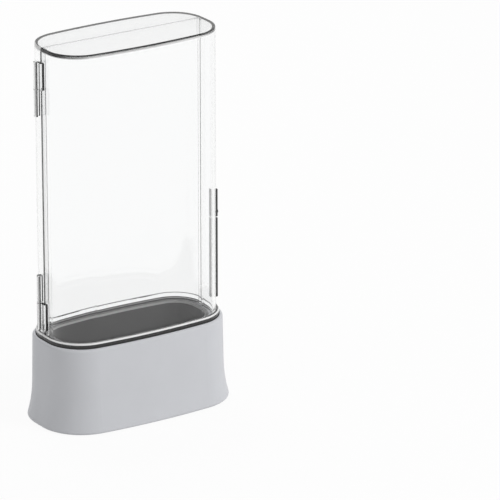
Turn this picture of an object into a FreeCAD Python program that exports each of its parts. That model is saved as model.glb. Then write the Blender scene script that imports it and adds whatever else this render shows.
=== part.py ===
import FreeCAD, Part
import math
import os

V = FreeCAD.Vector

# Herb keeper: a clear hinged pod that stands on a grey water base.
# Millimetres. X runs along the long side, the front looks along -Y, +Z is up,
# and the origin is on the table under the middle of the base.

# Plan outline of the pod: two long flat-ish sides, two short ends, four round corners
pod_length = 126.0
pod_width = 60.4
side_radius = 444.0
end_radius = 585.0
corner_radius = 23.4

# Pod heights and walls
pod_height = 203.0
pod_wall = 2.2
top_thickness = 2.8
top_edge_radius = 0.8
foot_flange_growth = 2.0
foot_flange_height = 3.2
foot_flange_radius = 1.0

# Plane that divides the pod into a rear shell and a front door
split_y = 3.6
split_gap = 0.2
lip_reach = 3.0
lip_thickness = 0.9
lip_clearance = 0.35
lip_root = 2.0

# Hinges at the left end
hinge_out = 3.0
hinge_behind_split = 1.6
knuckle_radius = 1.5
knuckle_length = 18.6
knuckle_gap = 0.4
pin_radius = 0.75
pin_clearance = 0.05
pin_recess = 0.6
web_width = 3.0
leaf_reach = 4.2
leaf_thickness = 2.4
leaf_clearance = 0.4
leaf_back = 0.2
wall_bite = 0.8
upper_hinge_below_top = 9.6
lower_hinge_above_flange = 3.4

# Pull strip and thumb tab at the right end
strip_from_split = 11.4
strip_width = 3.8
strip_thickness = 0.4
strip_lip_width = 1.9
strip_lip_thickness = 1.5
strip_root = 2.0
pull_above_flange = 5.4
pull_length = 56.6
thumb_gap = 1.0
thumb_length = 19.4
nub_radius = 1.1
nub_height = 3.4
nub_rise = 0.4

# Base shell
base_height = 59.7
base_lift = 0.6
base_wall = 2.4
shoulder_growth = 4.4
waist_growth = 5.1
foot_growth = 9.1
flare_height = 25.0
flare_steps = 5
shoulder_radius = 1.8
foot_radius = 1.4
deck_thickness = 2.6

# Seat of the pod on the base
seat_depth = 1.2
seat_clearance = 0.4
gasket_thickness = 1.7
gasket_width = 3.6

# Water liner
liner_rim_clearance = 1.5
liner_rim_width = 1.4
liner_rim_thickness = 1.5
liner_hole_clearance = 0.4
liner_wall = 1.2
liner_floor = 1.8
liner_depth = 43.0
liner_corner = 4.0

# Bottom cover and feet
cover_thickness = 2.0
cover_clearance = 0.3
foot_pad_radius = 6.0
foot_pad_height = 2.0
foot_pad_edge = 0.5
foot_pad_from_end = 16.0
foot_pad_from_side = 13.0

# How far a cutting shape runs past the surface that it cuts
overshoot = 1.0

# Places worked out from the sizes above
half_length = pod_length / 2
half_width = pod_width / 2
seat_z = base_height - seat_depth
pod_foot_z = seat_z + gasket_thickness
pod_top_z = pod_foot_z + pod_height
flange_top_z = pod_foot_z + foot_flange_height
hinge_x = -half_length - hinge_out
hinge_y = split_y + hinge_behind_split
lip_inner_growth = -pod_wall - lip_clearance - lip_thickness
liner_rim_growth = lip_inner_growth - liner_rim_clearance
liner_outer_growth = liner_rim_growth - liner_rim_width
cover_z = foot_pad_height
hinge_length = 2 * knuckle_length + knuckle_gap
upper_hinge_z = pod_top_z - upper_hinge_below_top - hinge_length
lower_hinge_z = flange_top_z + lower_hinge_above_flange
knuckle_step = knuckle_length + knuckle_gap
rear_knuckle_places = (upper_hinge_z, lower_hinge_z + knuckle_step)
door_knuckle_places = (upper_hinge_z + knuckle_step, lower_hinge_z)
strip_front_y = split_y - split_gap / 2 - strip_from_split - strip_width
pull_z = flange_top_z + pull_above_flange
thumb_z = pull_z + pull_length + thumb_gap


def corner_centre():
    """Centre of the corner arc that touches both the side arc and the end arc."""
    side_centre_y = half_width - side_radius
    end_centre_x = half_length - end_radius
    from_side = side_radius - corner_radius
    from_end = end_radius - corner_radius
    between = math.hypot(end_centre_x, side_centre_y)
    along = (from_side ** 2 - from_end ** 2 + between ** 2) / (2 * between)
    across = math.sqrt(from_side ** 2 - along ** 2)
    unit_x = end_centre_x / between
    unit_y = -side_centre_y / between
    x = along * unit_x + across * unit_y
    y = side_centre_y + along * unit_y - across * unit_x
    if x > 0 and y > 0:
        return x, y
    x = along * unit_x - across * unit_y
    y = side_centre_y + along * unit_y + across * unit_x
    return x, y


def outline(growth, z):
    """Closed eight-arc outline, moved outwards by growth, at height z."""
    corner_x, corner_y = corner_centre()
    side_centre_y = half_width - side_radius
    end_centre_x = half_length - end_radius
    end_turn = math.atan2(corner_y, corner_x - end_centre_x)
    side_turn = math.atan2(corner_y - side_centre_y, corner_x)

    def on_side(turn):
        radius = side_radius + growth
        return radius * math.cos(turn), side_centre_y + radius * math.sin(turn)

    def on_corner(turn):
        radius = corner_radius + growth
        return corner_x + radius * math.cos(turn), corner_y + radius * math.sin(turn)

    def on_end(turn):
        radius = end_radius + growth
        return end_centre_x + radius * math.cos(turn), radius * math.sin(turn)

    corner = [on_corner(t) for t in (end_turn, (end_turn + side_turn) / 2, side_turn)]
    side = (0.0, half_width + growth)
    end = (half_length + growth, 0.0)
    edges = []
    for mirror_x, mirror_y in ((1, 1), (-1, 1), (-1, -1), (1, -1)):
        points = [V(mirror_x * x, mirror_y * y, z) for x, y in corner]
        edges.append(Part.Arc(*points).toShape())
    for mirror_y in (1, -1):
        x, y = corner[2]
        ends = [V(x, mirror_y * y, z), V(-x, mirror_y * y, z)]
        edges.append(Part.Arc(ends[0], V(side[0], mirror_y * side[1], z), ends[1]).toShape())
    for mirror_x in (1, -1):
        x, y = corner[0]
        ends = [V(mirror_x * x, -y, z), V(mirror_x * x, y, z)]
        edges.append(Part.Arc(ends[0], V(mirror_x * end[0], end[1], z), ends[1]).toShape())
    return Part.Wire(Part.sortEdges(edges)[0])


def slab(growth, z_low, z_high):
    """Solid plate with the plan outline."""
    face = Part.Face(outline(growth, z_low))
    return face.extrude(V(0, 0, z_high - z_low))


def box(x_low, x_high, y_low, y_high, z_low, z_high):
    size = (x_high - x_low, y_high - y_low, z_high - z_low)
    return Part.makeBox(*size, V(x_low, y_low, z_low))


def half_space(front):
    """Large box that holds all of the pod in front of, or behind, the split."""
    reach = pod_length
    if front:
        return box(-reach, reach, -reach, split_y - split_gap / 2, 0, 2 * pod_top_z)
    return box(-reach, reach, split_y + split_gap / 2, reach, 0, 2 * pod_top_z)


def edges_near(shape, z, tolerance=0.01):
    """Edges that lie flat at height z."""
    found = []
    for edge in shape.Edges:
        bounds = edge.BoundBox
        if abs(bounds.ZMin - z) < tolerance and abs(bounds.ZMax - z) < tolerance:
            found.append(edge)
    return found


def pod_body():
    """Whole clear pod before it is divided: wall, top and foot flange."""
    wall = slab(0, pod_foot_z, pod_top_z)
    wall = wall.makeFillet(top_edge_radius, edges_near(wall, pod_top_z))
    flange = slab(foot_flange_growth, pod_foot_z, flange_top_z)
    flange = flange.makeFillet(foot_flange_radius, edges_near(flange, flange_top_z))
    inside = slab(-pod_wall, pod_foot_z - overshoot, pod_top_z - top_thickness)
    return wall.fuse(flange).cut(inside)


def closing_lip():
    """Thin step inside the two ends of the rear shell that the door closes over."""
    under_top = pod_top_z - top_thickness
    free_outer = -pod_wall - lip_clearance
    edge_y = split_y + split_gap / 2
    core = slab(lip_inner_growth, pod_foot_z, pod_top_z)
    free = slab(free_outer, pod_foot_z, under_top - lip_clearance).cut(core)
    free = free.common(box(-pod_length, pod_length, edge_y - lip_reach, edge_y, 0, pod_top_z))
    root = slab(-pod_wall, pod_foot_z, under_top).cut(core)
    root = root.common(box(-pod_length, pod_length, edge_y, edge_y + lip_root, 0, pod_top_z))
    return free.fuse(root)


def knuckle(z_low):
    return Part.makeCylinder(knuckle_radius, knuckle_length, V(hinge_x, hinge_y, z_low))


def rear_knuckle(z_low):
    """Knuckle that grows out of the rear shell."""
    z_high = z_low + knuckle_length
    wall_x = -half_length + wall_bite
    web = box(hinge_x, wall_x, hinge_y, hinge_y + web_width, z_low, z_high)
    return knuckle(z_low).fuse(web)


def door_knuckle(z_low):
    """Knuckle on a leaf that reaches back past the split from the door."""
    z_high = z_low + knuckle_length
    leaf_x = -half_length - leaf_clearance
    leaf_y = split_y - split_gap / 2 - leaf_back
    arm = box(leaf_x - leaf_thickness, leaf_x, leaf_y - overshoot, hinge_y, z_low, z_high)
    foot = box(leaf_x - leaf_thickness, -half_length + wall_bite,
               leaf_y - leaf_reach, leaf_y, z_low, z_high)
    return knuckle(z_low).fuse(arm).fuse(foot)


def pin_bore(z_low, radius):
    start = V(hinge_x, hinge_y, z_low - overshoot)
    return Part.makeCylinder(radius, hinge_length + 2 * overshoot, start)


def hinge_pin(z_low):
    start = V(hinge_x, hinge_y, z_low + pin_recess)
    return Part.makeCylinder(pin_radius, hinge_length - 2 * pin_recess, start)


def rear_shell():
    """Clear rear half with the closing lip and two knuckles."""
    shell = pod_body().common(half_space(front=False))
    shell = shell.fuse(closing_lip())
    for z_low in rear_knuckle_places:
        shell = shell.fuse(rear_knuckle(z_low))
    for z_low in (upper_hinge_z, lower_hinge_z):
        shell = shell.cut(pin_bore(z_low, pin_radius))
    return shell.removeSplitter()


def front_door():
    """Clear front half with its two knuckles."""
    door = pod_body().common(half_space(front=True))
    for z_low in door_knuckle_places:
        door = door.fuse(door_knuckle(z_low))
    for z_low in (upper_hinge_z, lower_hinge_z):
        door = door.cut(pin_bore(z_low, pin_radius + pin_clearance))
    return door.removeSplitter()


def end_strip(z_low, length):
    """Strip bonded to the right end of the door, with a raised front lip."""
    lip_y = strip_front_y + strip_lip_width
    back_y = strip_front_y + strip_width
    root_x = half_length - strip_root
    flat = box(root_x, half_length + strip_thickness,
               strip_front_y, back_y, z_low, z_low + length)
    lip = box(root_x, half_length + strip_lip_thickness,
              strip_front_y, lip_y, z_low, z_low + length)
    strip = flat.fuse(lip).removeSplitter()
    return strip.cut(slab(0, z_low - overshoot, z_low + length + overshoot))


def door_pull():
    return end_strip(pull_z, pull_length)


def thumb_tab():
    """Short strip above the pull, with a round nub for the thumb."""
    tab = end_strip(thumb_z, thumb_length)
    start = V(half_length, strip_front_y + strip_lip_width / 2, thumb_z + nub_height)
    nub = Part.makeCylinder(nub_radius, strip_lip_thickness + nub_rise, start, V(1, 0, 0))
    nub = nub.cut(slab(0, thumb_z, thumb_z + thumb_length))
    return tab.fuse(nub).removeSplitter()


def flare_growth(height):
    """Growth of the outer wall: a hollow curve below the waist, straight above it."""
    if height >= flare_height:
        share = (height - flare_height) / (base_height - flare_height)
        return waist_growth + share * (shoulder_growth - waist_growth)
    drop = (flare_height - height) / flare_height
    slope = (waist_growth - shoulder_growth) / (base_height - flare_height)
    straight = waist_growth + slope * (flare_height - height)
    spread = foot_growth - waist_growth - slope * flare_height
    return straight + spread * drop ** 2


def base_body(inset, z_low, z_high):
    """Flared solid: smooth below the waist, drafted straight above it."""
    step = (flare_height - z_low) / flare_steps
    heights = [z_low + i * step for i in range(flare_steps + 1)]
    flare = Part.makeLoft([outline(flare_growth(z) - inset, z) for z in heights], True)
    ends = (flare_height, z_high)
    upper = Part.makeLoft([outline(flare_growth(z) - inset, z) for z in ends], True, True)
    return flare.fuse(upper)


def base_shell():
    """Grey outer shell: flared wall, deck, recessed seat and liner opening."""
    body = base_body(0, base_lift, base_height)
    body = body.makeFillet(shoulder_radius, edges_near(body, base_height))
    body = body.makeFillet(foot_radius, edges_near(body, base_lift))
    hollow = base_body(base_wall, base_lift, seat_z - deck_thickness)
    seat = slab(foot_flange_growth + seat_clearance, seat_z, base_height + overshoot)
    opening = slab(liner_outer_growth + liner_hole_clearance, 0, base_height)
    return body.cut(hollow).cut(seat).cut(opening)


def seat_gasket():
    """Soft black ring between the deck and the pod flange."""
    ring = slab(foot_flange_growth, seat_z, pod_foot_z)
    inside = slab(foot_flange_growth - gasket_width, seat_z - overshoot, pod_foot_z + overshoot)
    return ring.cut(inside)


def water_liner():
    """Dark cup that hangs by its rim in the deck opening and holds the water."""
    rim_top = seat_z + liner_rim_thickness
    bottom = rim_top - liner_depth
    cup = slab(liner_outer_growth, bottom, seat_z)
    cup = cup.makeFillet(liner_corner, edges_near(cup, bottom))
    rim = slab(liner_rim_growth, seat_z, rim_top)
    inside = slab(liner_outer_growth - liner_wall, bottom + liner_floor, rim_top + overshoot)
    inside = inside.makeFillet(liner_corner - liner_wall / 2,
                               edges_near(inside, bottom + liner_floor))
    return cup.fuse(rim).cut(inside).removeSplitter()


def bottom_cover():
    """Plate that closes the base from below and carries the feet."""
    growth = flare_growth(cover_z + cover_thickness) - base_wall - cover_clearance
    return slab(growth, cover_z, cover_z + cover_thickness)


def foot_pad(x, y):
    pad = Part.makeCylinder(foot_pad_radius, foot_pad_height, V(x, y, 0))
    return pad.makeFillet(foot_pad_edge, edges_near(pad, 0))


def write(name, shape):
    if len(shape.Solids) == 1:
        shape = shape.Solids[0]
    shape.exportStep("parts/" + name + ".step")


os.makedirs("parts", exist_ok=True)
write("base_shell", base_shell())
write("bottom_cover", bottom_cover())
write("seat_gasket", seat_gasket())
write("water_liner", water_liner())
write("rear_shell", rear_shell())
write("front_door", front_door())
write("upper_hinge_pin", hinge_pin(upper_hinge_z))
write("lower_hinge_pin", hinge_pin(lower_hinge_z))
write("door_pull", door_pull())
write("thumb_tab", thumb_tab())

foot_x = half_length - foot_pad_from_end
foot_y = half_width - foot_pad_from_side
foot_places = (("front_left", -1, -1), ("front_right", 1, -1),
               ("rear_left", -1, 1), ("rear_right", 1, 1))
for place, sign_x, sign_y in foot_places:
    write("foot_pad_" + place, foot_pad(sign_x * foot_x, sign_y * foot_y))
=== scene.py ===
import math

import bpy
from mathutils import Matrix, Vector


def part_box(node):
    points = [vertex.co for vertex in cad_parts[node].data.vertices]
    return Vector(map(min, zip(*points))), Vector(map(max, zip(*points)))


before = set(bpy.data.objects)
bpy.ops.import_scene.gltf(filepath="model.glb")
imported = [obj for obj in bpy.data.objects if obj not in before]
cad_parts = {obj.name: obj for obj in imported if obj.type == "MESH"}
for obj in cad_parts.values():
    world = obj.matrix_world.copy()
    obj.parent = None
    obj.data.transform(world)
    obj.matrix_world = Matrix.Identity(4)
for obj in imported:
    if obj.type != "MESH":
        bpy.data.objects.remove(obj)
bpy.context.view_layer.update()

# Metres. X runs along the long side, the front looks along -Y and +Z is up.
MM = 0.001

# Places read from the frame, and the few sizes that the part shares with it
door_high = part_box("front_door")[1]
gasket_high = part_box("seat_gasket")[1]
liner_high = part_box("water_liner")[1]
pull_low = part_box("door_pull")[0]
pin_low, pin_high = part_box("upper_hinge_pin")
pod_top = door_high.z
pod_foot = gasket_high.z
flange_growth = 2.0 * MM
flange_top = pod_foot + 3.2 * MM
half_length = gasket_high.x - flange_growth
split_y = 3.6 * MM
top_thickness = 2.8 * MM
top_edge_radius = 0.8 * MM
strip_lip_width = 1.9 * MM

# Camera: in front and to the left, a little above the object
camera_azimuth = math.radians(-33.2)
camera_elevation = math.radians(19.9)
focal_px = 4774.0
image_px = 500.0
sensor_mm = 36.0
top_centre_px = (125.3, 33.3)
top_px_per_metre = 1517.8

# Light: name, place, point aimed at, width and height in metres, and watts
area_lights = (
    ("key", (0.9, -1.5, 1.1), (0.0, 0.0, 0.08), (0.9, 0.9), 24.0),
    ("fill", (-1.4, 0.1, 0.6), (0.0, 0.0, 0.08), (0.8, 1.2), 2.2),
    ("rim", (0.3, 1.3, 1.1), (0.0, 0.0, 0.15), (1.2, 0.6), 9.0),
)
surround_lighting = 0.45
surround_seen = 1.0
floor_size = 40.0
floor_glow = 0.93

# Plastics
clear_tint = (0.985, 0.988, 0.988, 1.0)
clear_ior = 1.49
moulded_ior = 1.47
clear_light_passing = 0.95
grain_depth = 0.1 * MM

# Lines on the clear plastic: dark joint lines, and painted shade and painted highlights on its
# edges, rims and outlines.
# Dark, shade and highlight values are shares of the line's full strength, and a facing is one
# part of the surface's normal. ends_turn is where the outline turns round its ends, as a share
# of the half length. hinge_turn and wall_turn are how far the surface turns away from the eye.
flat_facing = 0.985
upright_facing = 0.5
ends_turn_from, ends_turn_to = 0.72, 0.98
edge_line_depth = 0.62 * top_edge_radius
# Painted shade on the top's rounded edge, weaker on the far side.
edge_shade_sides, edge_shade_ends = 0.62, 0.95
edge_shade_far = 0.72
# At the rear end the edge's painted shade mostly gives way to a painted glint.
rear_end_length = 5.0 * MM
rear_end_shade = 0.1
rear_end_highlight = 0.7
# Painted shade on the top plate's outer face, more at the ends, and a painted highlight low on
# it.
plate_shade_sides, plate_shade_ends = 0.05, 0.45
plate_highlight_depth = 1.3 * MM
plate_highlight = 0.5
joint_half_width = 0.15 * MM
joint_facing = 0.5
joint_in_plate_dark = 0.16
joint_on_top_depth, joint_on_top_dark = 0.7 * MM, 0.5
joint_right_depth, joint_right_dark = 0.8 * MM, 0.6
joint_left_depth, joint_left_dark = 2.2 * MM, 0.97
joint_shade_half_width = 0.5 * MM
joint_shade_depth, joint_shade_dark = 0.3 * MM, 0.55
hinge_off_wall = 0.25 * MM
hinge_above_flange = 1.0 * MM
hinge_bore_reach = 1.2 * MM
# Painted shade on the knuckles' ends, sides and outlines.
hinge_end_facing, hinge_end_shade = 0.9, 0.7
hinge_turn_from, hinge_turn_to = 0.75, 0.98
hinge_side_shade, hinge_outline_shade = 0.05, 0.27
flange_over = 0.02 * MM
flange_rim_facing = 0.95
# Painted shade on the flange's black band, and a painted highlight on its rounded top.
flange_black_height = 2.1 * MM
flange_shade_far, flange_shade_near = 0.1, 0.96
flange_highlight = 0.75
# Painted shade along the wall's outline.
wall_turn_from, wall_turn_to = 0.86, 0.99
wall_outline_shade = 0.2
# Painted highlight on the liner's rim.
liner_rim_depth, liner_rim_facing, liner_rim_highlight = 1.6 * MM, 0.9, 0.8


class Value:
    """A number socket that takes part in Python arithmetic by adding Math nodes."""

    def __init__(self, shader, socket):
        self.shader = shader
        self.socket = socket

    def maths(self, operation, *others, clamp=False):
        settings = {"operation": operation, "use_clamp": clamp}
        node = self.shader.node("ShaderNodeMath", settings)
        for index, value in enumerate((self,) + others):
            self.shader.feed(node.inputs[index], value)
        return Value(self.shader, node.outputs[0])

    def __add__(self, other):
        return self.maths("ADD", other)

    def __mul__(self, other):
        return self.maths("MULTIPLY", other)

    def __sub__(self, other):
        return self.maths("SUBTRACT", other)

    def __rsub__(self, other):
        return (self * -1.0) + other

    def __truediv__(self, other):
        return self.maths("DIVIDE", other)

    def __gt__(self, other):
        return self.maths("GREATER_THAN", other)

    def __lt__(self, other):
        return self.maths("LESS_THAN", other)

    def size(self):
        return self.maths("ABSOLUTE")

    def either(self, other):
        return self.maths("MAXIMUM", other)

    def ramp(self, low, high):
        """0 at low, 1 at high, and held at both ends."""
        span = 1.0 / (high - low)
        return (self - low).maths("MULTIPLY", span, clamp=True)

    def between(self, at_none, at_full):
        """at_none where this is 0, at_full where this is 1."""
        return self * (at_full - at_none) + at_none


class Shader:
    """The nodes of one material or of the world, made one by one."""

    def __init__(self, owner):
        self.owner = owner
        owner.use_nodes = True
        self.tree = owner.node_tree
        self.tree.nodes.clear()

    def feed(self, socket, value):
        if isinstance(value, Value):
            value = value.socket
        if isinstance(value, bpy.types.NodeSocket):
            self.tree.links.new(value, socket)
        else:
            socket.default_value = value

    def node(self, kind, settings=None, **inputs):
        node = self.tree.nodes.new(kind)
        for name, value in (settings or {}).items():
            setattr(node, name, value)
        for name, value in inputs.items():
            self.feed(node.inputs[name.replace("_", " ")], value)
        return node

    def three_numbers(self, vector):
        parts = self.node("ShaderNodeSeparateXYZ", Vector=vector)
        return [Value(self, parts.outputs[axis]) for axis in "XYZ"]

    def place(self):
        """Object coordinates as three numbers."""
        return self.three_numbers(self.node("ShaderNodeTexCoord").outputs["Object"])

    def facing(self):
        """The surface normal in Object coordinates as three numbers."""
        return self.three_numbers(self.node("ShaderNodeTexCoord").outputs["Normal"])

    def near_side(self):
        """0 where the surface is seen from inside the material, 1 elsewhere."""
        return 1.0 - Value(self, self.node("ShaderNodeNewGeometry").outputs["Backfacing"])

    def rays(self, *kinds):
        """1 for light of any of these kinds."""
        light_path = self.node("ShaderNodeLightPath")
        found = [Value(self, light_path.outputs["Is " + kind + " Ray"]) for kind in kinds]
        any_kind = found[0]
        for value in found[1:]:
            any_kind = any_kind.either(value)
        return any_kind

    def seen(self):
        """1 for what the eye meets straight on, mirrored or through clear plastic."""
        return self.rays("Camera", "Glossy", "Transmission")

    def passing_light(self):
        """1 for light on its way to or from what lies behind."""
        return self.rays("Shadow", "Diffuse")

    def grazing(self):
        """0 where the surface faces the eye, 1 where it turns away."""
        return Value(self, self.node("ShaderNodeLayerWeight", Blend=0.5).outputs["Facing"])

    def noise(self, scale, detail=3.0):
        coordinates = self.node("ShaderNodeTexCoord").outputs["Object"]
        node = self.node("ShaderNodeTexNoise", Vector=coordinates, Scale=scale,
                         Detail=detail, Roughness=0.5)
        return Value(self, node.outputs["Fac"])

    def blend(self, share, first, second):
        """Colour between first and second."""
        node = self.node("ShaderNodeMix", {"data_type": "RGBA"})
        share_input, first_input, second_input = (node.inputs[index] for index in (0, 6, 7))
        self.feed(share_input, share)
        self.feed(first_input, first)
        self.feed(second_input, second)
        return node.outputs[2]

    def bump(self, height, strength):
        node = self.node("ShaderNodeBump", Strength=strength, Distance=grain_depth,
                         Height=height)
        return node.outputs["Normal"]

    def plastic(self, **inputs):
        return self.node("ShaderNodeBsdfPrincipled", **inputs).outputs[0]

    def mixed(self, share, first, second):
        """Surface between first and second."""
        node = self.node("ShaderNodeMixShader")
        for socket, value in zip(node.inputs, (share, first, second)):
            self.feed(socket, value)
        return node.outputs[0]

    def finish(self, surface, output="ShaderNodeOutputMaterial"):
        self.node(output, Surface=surface)
        return self.owner


def new_shader(name):
    return Shader(bpy.data.materials.new(name))


def grey(level, cool=0.0):
    """A grey, or a slightly blue one."""
    return (level, level * (1.0 + 0.25 * cool), level * (1.0 + cool), 1.0)


class Spot:
    """What the lines on the clear plastic depend on, at each point of its surface."""

    def __init__(self, shader):
        self.x, self.y, self.z = shader.place()
        facing_x, self.facing_y, self.facing_z = shader.facing()
        self.outside = (facing_x * self.x + self.facing_y * self.y) > 0.0
        self.near = shader.near_side()
        self.turned_away = shader.grazing()
        self.at_ends = (self.x.size() / half_length).ramp(ends_turn_from, ends_turn_to)


def top_lines(spot):
    """Painted shade on the top's rounded edge and on its plate near the ends, and painted
    highlights low on the plate and on the rear end's top.
    """
    sloping = spot.facing_z < flat_facing
    rear_end = (spot.y > split_y) * (spot.x.size() > half_length - rear_end_length) * spot.near
    rounded = (spot.z > pod_top - edge_line_depth) * sloping
    edge_shade = rounded * spot.at_ends.between(edge_shade_sides, edge_shade_ends)
    edge_shade = edge_shade * rear_end.between(1.0, rear_end_shade)
    edge_shade = edge_shade * spot.near.between(edge_shade_far, 1.0)

    in_plate = spot.z > pod_top - top_thickness
    plate = in_plate * (spot.facing_z.size() < upright_facing) * (spot.y < split_y)
    plate = plate * spot.outside * spot.near
    plate_low = plate * (spot.z < pod_top - plate_highlight_depth) * (1.0 - spot.at_ends)
    plate_shade = plate * spot.at_ends.between(plate_shade_sides, plate_shade_ends)

    # Painted glint on the rounded top of the rear end.
    rear_glint = rear_end * in_plate * sloping
    painted_highlight = (plate_low * plate_highlight).either(rear_glint * rear_end_highlight)
    return edge_shade.either(plate_shade), painted_highlight


def joint_lines(spot):
    """Joint between door and rear shell, darkest at the hinged end."""
    off_joint = (spot.y - split_y).size()
    joint = (off_joint < joint_half_width) * (spot.facing_y.size() > joint_facing)
    in_plate = (spot.z > pod_top - top_thickness) * joint_in_plate_dark
    on_top = (spot.z > pod_top - joint_on_top_depth) * joint_on_top_dark
    at_right = (spot.x > half_length - joint_right_depth) * joint_right_dark
    at_left = (spot.x < joint_left_depth - half_length) * joint_left_dark
    shade = (off_joint < joint_shade_half_width) * (spot.x < joint_shade_depth - half_length)
    shade = shade * joint_shade_dark * spot.outside * spot.near
    return (joint * in_plate.either(on_top).either(at_right).either(at_left)).either(shade)


def hinge_lines(spot):
    """Knuckles and leaves outside the wall: painted shade at their ends and outlines, and
    faintly on their sides.
    """
    off_pin_x = spot.x - (pin_low.x + pin_high.x) / 2
    off_pin_y = spot.y - (pin_low.y + pin_high.y) / 2
    off_bore = (off_pin_x * off_pin_x + off_pin_y * off_pin_y) > hinge_bore_reach ** 2
    hinge = (spot.x < -half_length - hinge_off_wall) * off_bore
    hinge = hinge * (spot.z > flange_top + hinge_above_flange)
    ends = (spot.facing_z.size() > hinge_end_facing) * hinge_end_shade
    outline = spot.turned_away.ramp(hinge_turn_from, hinge_turn_to)
    sides = outline.between(hinge_side_shade, hinge_outline_shade)
    return hinge * sides.either(ends)


def flange_lines(spot):
    """Foot flange: painted shade, black where it meets the gasket, and a painted highlight on
    its rounded top.
    """
    flange = (spot.z < flange_top + flange_over) * (spot.facing_z.size() < flange_rim_facing)
    flange = flange * spot.outside
    low = spot.z < pod_foot + flange_black_height
    dark = flange * low * spot.near.between(flange_shade_far, flange_shade_near)
    painted_highlight = flange * (1.0 - low) * spot.near * flange_highlight
    return dark, painted_highlight


def clear_plastic():
    """Polished clear plastic: its joints show as dark lines, and its edges and thick rims get
    painted shade and painted highlights.
    """
    shader = new_shader("clear_plastic")
    spot = Spot(shader)
    top_shade, top_highlight = top_lines(spot)
    flange_shade, flange_highlight_line = flange_lines(spot)
    # Painted shade where the wall turns away from the eye.
    outline = spot.turned_away.ramp(wall_turn_from, wall_turn_to) * spot.near * wall_outline_shade
    dark = top_shade.either(joint_lines(spot)).either(hinge_lines(spot))
    dark = dark.either(flange_shade).either(outline)

    clear = shader.plastic(Base_Color=clear_tint, Roughness=0.0, IOR=clear_ior,
                           Transmission_Weight=1.0)
    # Near black, for the dark joint lines and the painted shade.
    shade_and_joint_black = shader.plastic(Base_Color=grey(0.01), Roughness=0.15, IOR=clear_ior)
    # Near white, for the painted highlights.
    painted_highlight = shader.plastic(Base_Color=grey(0.93), Roughness=0.2, IOR=clear_ior)
    lined = shader.mixed(dark, clear, shade_and_joint_black)
    lit = shader.mixed(top_highlight.either(flange_highlight_line), lined, painted_highlight)
    through = shader.node("ShaderNodeBsdfTransparent").outputs[0]
    passing = shader.passing_light() * clear_light_passing
    return shader.finish(shader.mixed(passing, lit, through))


def pin_plastic():
    """Milky plastic, which the clear knuckles magnify."""
    shader = new_shader("pin_milky")
    fine = shader.noise(900.0, detail=2.0)
    surface = shader.plastic(Base_Color=grey(0.85), Roughness=fine.between(0.27, 0.33),
                             IOR=clear_ior)
    return shader.finish(surface)


def moulded_grey(name, level, roughness, grain):
    """Satin moulded plastic with a fine spark-eroded grain."""
    shader = new_shader(name)
    fine = shader.noise(1300.0, detail=2.0)
    broad = shader.noise(45.0)
    shade = shader.blend(broad, grey(level * 0.97, 0.06), grey(level * 1.03, 0.06))
    surface = shader.plastic(Base_Color=shade,
                             Roughness=fine.between(roughness - 0.04, roughness + 0.04),
                             Normal=shader.bump(fine, grain), IOR=moulded_ior)
    return shader.finish(surface)


def liner_plastic():
    """Dark satin plastic, with a painted highlight in lighter grey where its rim catches the
    light.
    """
    shader = new_shader("liner_grey")
    z = shader.place()[2]
    facing_z = shader.facing()[2]
    broad = shader.noise(60.0)
    rim = (z > liner_high.z - liner_rim_depth) * (facing_z.size() < liner_rim_facing)
    shade = shader.blend(rim * liner_rim_highlight, grey(0.06), grey(0.5))
    surface = shader.plastic(Base_Color=shade, Roughness=broad.between(0.4, 0.46),
                             IOR=moulded_ior)
    return shader.finish(surface)


def strip_plastic():
    """Satin strip: pale flat band behind, dark raised lip in front."""
    shader = new_shader("strip_grey")
    y = shader.place()[1]
    fine = shader.noise(2600.0, detail=2.0)
    lip = y < pull_low.y + strip_lip_width
    shade = shader.blend(lip, grey(0.2, 0.02), grey(0.03, 0.02))
    surface = shader.plastic(Base_Color=shade, Roughness=fine.between(0.38, 0.46),
                             Normal=shader.bump(fine, 0.2), IOR=moulded_ior)
    return shader.finish(surface)


def soft_rubber(name, level):
    """Matt dark rubber."""
    shader = new_shader(name)
    fine = shader.noise(1800.0)
    surface = shader.plastic(Base_Color=grey(level), Roughness=fine.between(0.5, 0.6),
                             Normal=shader.bump(fine, 0.25))
    return shader.finish(surface)


def dress(material, *node_names):
    for node_name in node_names:
        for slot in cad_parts[node_name].material_slots:
            slot.material = material


def camera():
    """The photograph's view: the top's centre falls on its own pixel at its own scale."""
    turn_sin, turn_cos = math.sin(camera_azimuth), math.cos(camera_azimuth)
    rise_sin, rise_cos = math.sin(camera_elevation), math.cos(camera_elevation)
    back = Vector((turn_sin * rise_cos, -turn_cos * rise_cos, rise_sin))
    right = Vector((turn_cos, turn_sin, 0.0))
    up = back.cross(right)
    distance = focal_px / top_px_per_metre
    across = (top_centre_px[0] - image_px / 2) / focal_px * distance
    above = (image_px / 2 - top_centre_px[1]) / focal_px * distance
    data = bpy.data.cameras.new("camera")
    data.sensor_width = sensor_mm
    data.lens = focal_px * sensor_mm / image_px
    data.clip_start = 0.05
    data.clip_end = 50.0
    thing = bpy.data.objects.new("camera", data)
    bpy.context.collection.objects.link(thing)
    place = Vector((0, 0, pod_top)) - across * right - above * up + distance * back
    turned = Matrix((right, up, back)).transposed().to_4x4()
    thing.matrix_world = Matrix.Translation(place) @ turned
    bpy.context.scene.camera = thing


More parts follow.
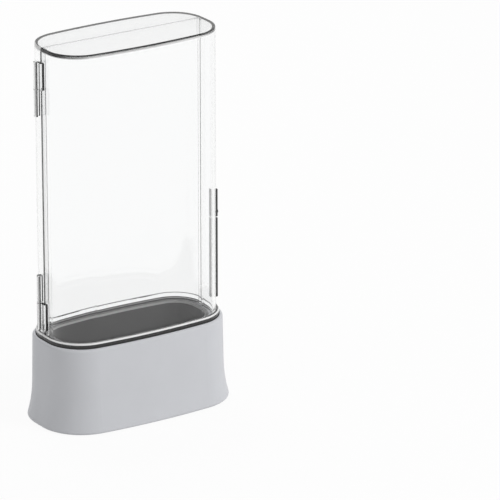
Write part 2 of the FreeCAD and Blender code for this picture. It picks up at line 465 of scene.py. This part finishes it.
def area_light(name, place, aim, size, power):
    """Soft light that shows neither through the clear plastic nor mirrored in it."""
    data = bpy.data.lights.new(name, "AREA")
    data.shape = "RECTANGLE"
    data.size, data.size_y = size
    data.energy = power
    thing = bpy.data.objects.new(name, data)
    bpy.context.collection.objects.link(thing)
    way = Vector(aim) - Vector(place)
    thing.location = place
    thing.rotation_euler = way.to_track_quat("-Z", "Y").to_euler()
    thing.visible_transmission = False
    thing.visible_glossy = False


def white_floor():
    """Matt floor that the eye sees nearly white."""
    bpy.ops.object.select_all(action="DESELECT")
    bpy.ops.mesh.primitive_plane_add(size=floor_size, location=(0, 0, 0))
    floor = bpy.context.object
    floor.name = "floor"
    shader = new_shader("floor")
    matt = shader.plastic(Base_Color=grey(0.8), Roughness=0.9)
    glow = shader.node("ShaderNodeEmission", Color=grey(1.0), Strength=1.0).outputs[0]
    surface = shader.mixed(shader.seen() * floor_glow, matt, glow)
    floor.data.materials.append(shader.finish(surface))


def white_surround():
    """White to the eye, and a weaker light on the object."""
    world = bpy.data.worlds.new("surround")
    bpy.context.scene.world = world
    shader = Shader(world)
    strength = shader.seen().between(surround_lighting, surround_seen)
    background = shader.node("ShaderNodeBackground", Color=grey(1.0), Strength=strength)
    shader.finish(background.outputs[0], output="ShaderNodeOutputWorld")


camera()
white_floor()
for area_light_settings in area_lights:
    area_light(*area_light_settings)
white_surround()
bpy.context.scene.view_settings.view_transform = "Standard"

foot_pads = [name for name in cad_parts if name.startswith("foot_pad")]
dress(clear_plastic(), "front_door", "rear_shell")
dress(pin_plastic(), "upper_hinge_pin", "lower_hinge_pin")
dress(moulded_grey("base_grey", level=0.55, roughness=0.5, grain=0.12), "base_shell")
dress(moulded_grey("cover_grey", level=0.45, roughness=0.55, grain=0.15), "bottom_cover")
dress(liner_plastic(), "water_liner")
dress(strip_plastic(), "door_pull", "thumb_tab")
dress(soft_rubber("gasket_black", level=0.012), "seat_gasket")
dress(soft_rubber("foot_rubber", level=0.03), *foot_pads)
